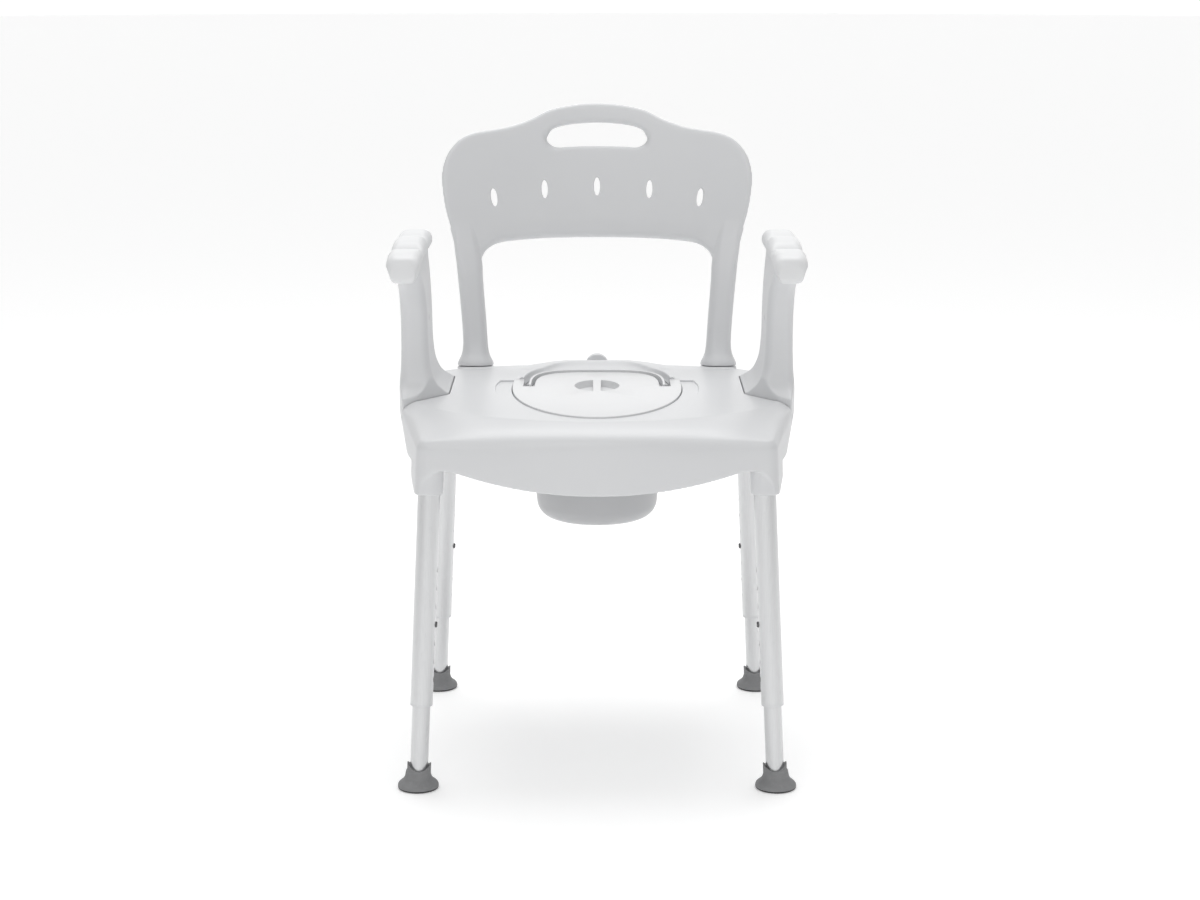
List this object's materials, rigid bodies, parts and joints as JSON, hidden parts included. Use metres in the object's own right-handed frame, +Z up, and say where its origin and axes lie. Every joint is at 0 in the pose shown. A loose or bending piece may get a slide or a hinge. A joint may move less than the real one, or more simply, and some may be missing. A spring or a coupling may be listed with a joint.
{
  "type": "shower commode chair",
  "caption": "Height-adjustable shower and commode chair with telescopic legs, a moulded seat with a lidded pan, and a backrest and padded armrests that lift off.",
  "frame": {"origin": "on the floor, at the middle of the overall box, with the legs at their middle setting", "axes": "+X to the right seen from the front, +Y to the rear, +Z up"},
  "size_m": [0.56, 0.54, 0.8793],
  "materials": {
    "shell_plastic": "light grey moulded plastic, satin sheen with a fine moulded grain",
    "pad_plastic": "paler grey plastic, soft satin",
    "pan_plastic": "light grey moulded plastic, smooth satin",
    "aluminium": "satin anodised, drawn along the tube",
    "foot_rubber": "mid grey rubber, slightly worn, darker at the sole",
    "steel": "dark zinc-plated steel"
  },
  "bodies": {
    "root": {"seat": "shell_plastic", "leg_screws": "steel", "leg_front_left_outer_tube": "aluminium", "leg_front_right_outer_tube": "aluminium", "leg_rear_left_outer_tube": "aluminium", "leg_rear_right_outer_tube": "aluminium", "leg_front_left_bushing": "shell_plastic", "leg_front_right_bushing": "shell_plastic", "leg_rear_left_bushing": "shell_plastic", "leg_rear_right_bushing": "shell_plastic"},
    "backrest": {"backrest": "shell_plastic"},
    "armrest_left": {"armrest_left": "shell_plastic", "armrest_left_pad": "pad_plastic", "armrest_left_plug": "shell_plastic"},
    "armrest_right": {"armrest_right": "shell_plastic", "armrest_right_pad": "pad_plastic", "armrest_right_plug": "shell_plastic"},
    "pan": {"pan": "pan_plastic"},
    "pan_bail": {"pan_bail": "pan_plastic"},
    "lid": {"lid": "pan_plastic"},
    "leg_front_left": {"leg_front_left_inner_tube": "aluminium", "leg_front_left_foot": "foot_rubber", "leg_front_left_spring": "steel"},
    "leg_front_right": {"leg_front_right_inner_tube": "aluminium", "leg_front_right_foot": "foot_rubber", "leg_front_right_spring": "steel"},
    "leg_rear_left": {"leg_rear_left_inner_tube": "aluminium", "leg_rear_left_foot": "foot_rubber", "leg_rear_left_spring": "steel"},
    "leg_rear_right": {"leg_rear_right_inner_tube": "aluminium", "leg_rear_right_foot": "foot_rubber", "leg_rear_right_spring": "steel"},
    "button_front_left": {"leg_front_left_button": "steel"},
    "button_front_right": {"leg_front_right_button": "steel"},
    "button_rear_left": {"leg_rear_left_button": "steel"},
    "button_rear_right": {"leg_rear_right_button": "steel"}
  },
  "joints": [
    {"name": "backrest_lift", "type": "slide", "parent": "root", "child": "backrest", "axis": [0, 0.1045, 0.9945], "range_m": [0, 0.1]},
    {"name": "armrest_left_lift", "type": "slide", "parent": "root", "child": "armrest_left", "axis": [0, 0, 1], "range_m": [0, 0.06]},
    {"name": "armrest_right_lift", "type": "slide", "parent": "root", "child": "armrest_right", "axis": [0, 0, 1], "range_m": [0, 0.06]},
    {"name": "pan_lift", "type": "slide", "parent": "root", "child": "pan", "axis": [0, 0, 1], "range_m": [0, 0.19]},
    {"name": "lid_lift", "type": "slide", "parent": "pan", "child": "lid", "axis": [0, 0, 1], "range_m": [0, 0.05]},
    {"name": "bail_swing", "type": "hinge", "parent": "pan", "child": "pan_bail", "pos_m": [0, 0.03939, 0.4912], "axis": [1, 0, 0], "range_deg": [0, 90]},
    {"name": "leg_front_left_slide", "type": "slide", "parent": "root", "child": "leg_front_left", "axis": [0.0471, 0.0471, 0.9978], "range_m": [-0.075, 0.075]},
    {"name": "leg_front_right_slide", "type": "slide", "parent": "root", "child": "leg_front_right", "axis": [-0.0471, 0.0471, 0.9978], "range_m": [-0.075, 0.075]},
    {"name": "leg_rear_left_slide", "type": "slide", "parent": "root", "child": "leg_rear_left", "axis": [0.0471, -0.0471, 0.9978], "range_m": [-0.075, 0.075]},
    {"name": "leg_rear_right_slide", "type": "slide", "parent": "root", "child": "leg_rear_right", "axis": [-0.0471, -0.0471, 0.9978], "range_m": [-0.075, 0.075]},
    {"name": "button_front_left_press", "type": "slide", "parent": "leg_front_left", "child": "button_front_left", "axis": [-0.9989, 0, 0.0471], "range_m": [0, 0.005], "stiffness_N_per_m": 2500, "springref_m": -0.002, "deforming": ["leg_front_left_spring"]},
    {"name": "button_front_right_press", "type": "slide", "parent": "leg_front_right", "child": "button_front_right", "axis": [0.9989, 0, 0.0471], "range_m": [0, 0.005], "stiffness_N_per_m": 2500, "springref_m": -0.002, "deforming": ["leg_front_right_spring"]},
    {"name": "button_rear_left_press", "type": "slide", "parent": "leg_rear_left", "child": "button_rear_left", "axis": [-0.9989, 0, 0.0471], "range_m": [0, 0.005], "stiffness_N_per_m": 2500, "springref_m": -0.002, "deforming": ["leg_rear_left_spring"]},
    {"name": "button_rear_right_press", "type": "slide", "parent": "leg_rear_right", "child": "button_rear_right", "axis": [0.9989, 0, 0.0471], "range_m": [0, 0.005], "stiffness_N_per_m": 2500, "springref_m": -0.002, "deforming": ["leg_rear_right_spring"]}
  ]
}
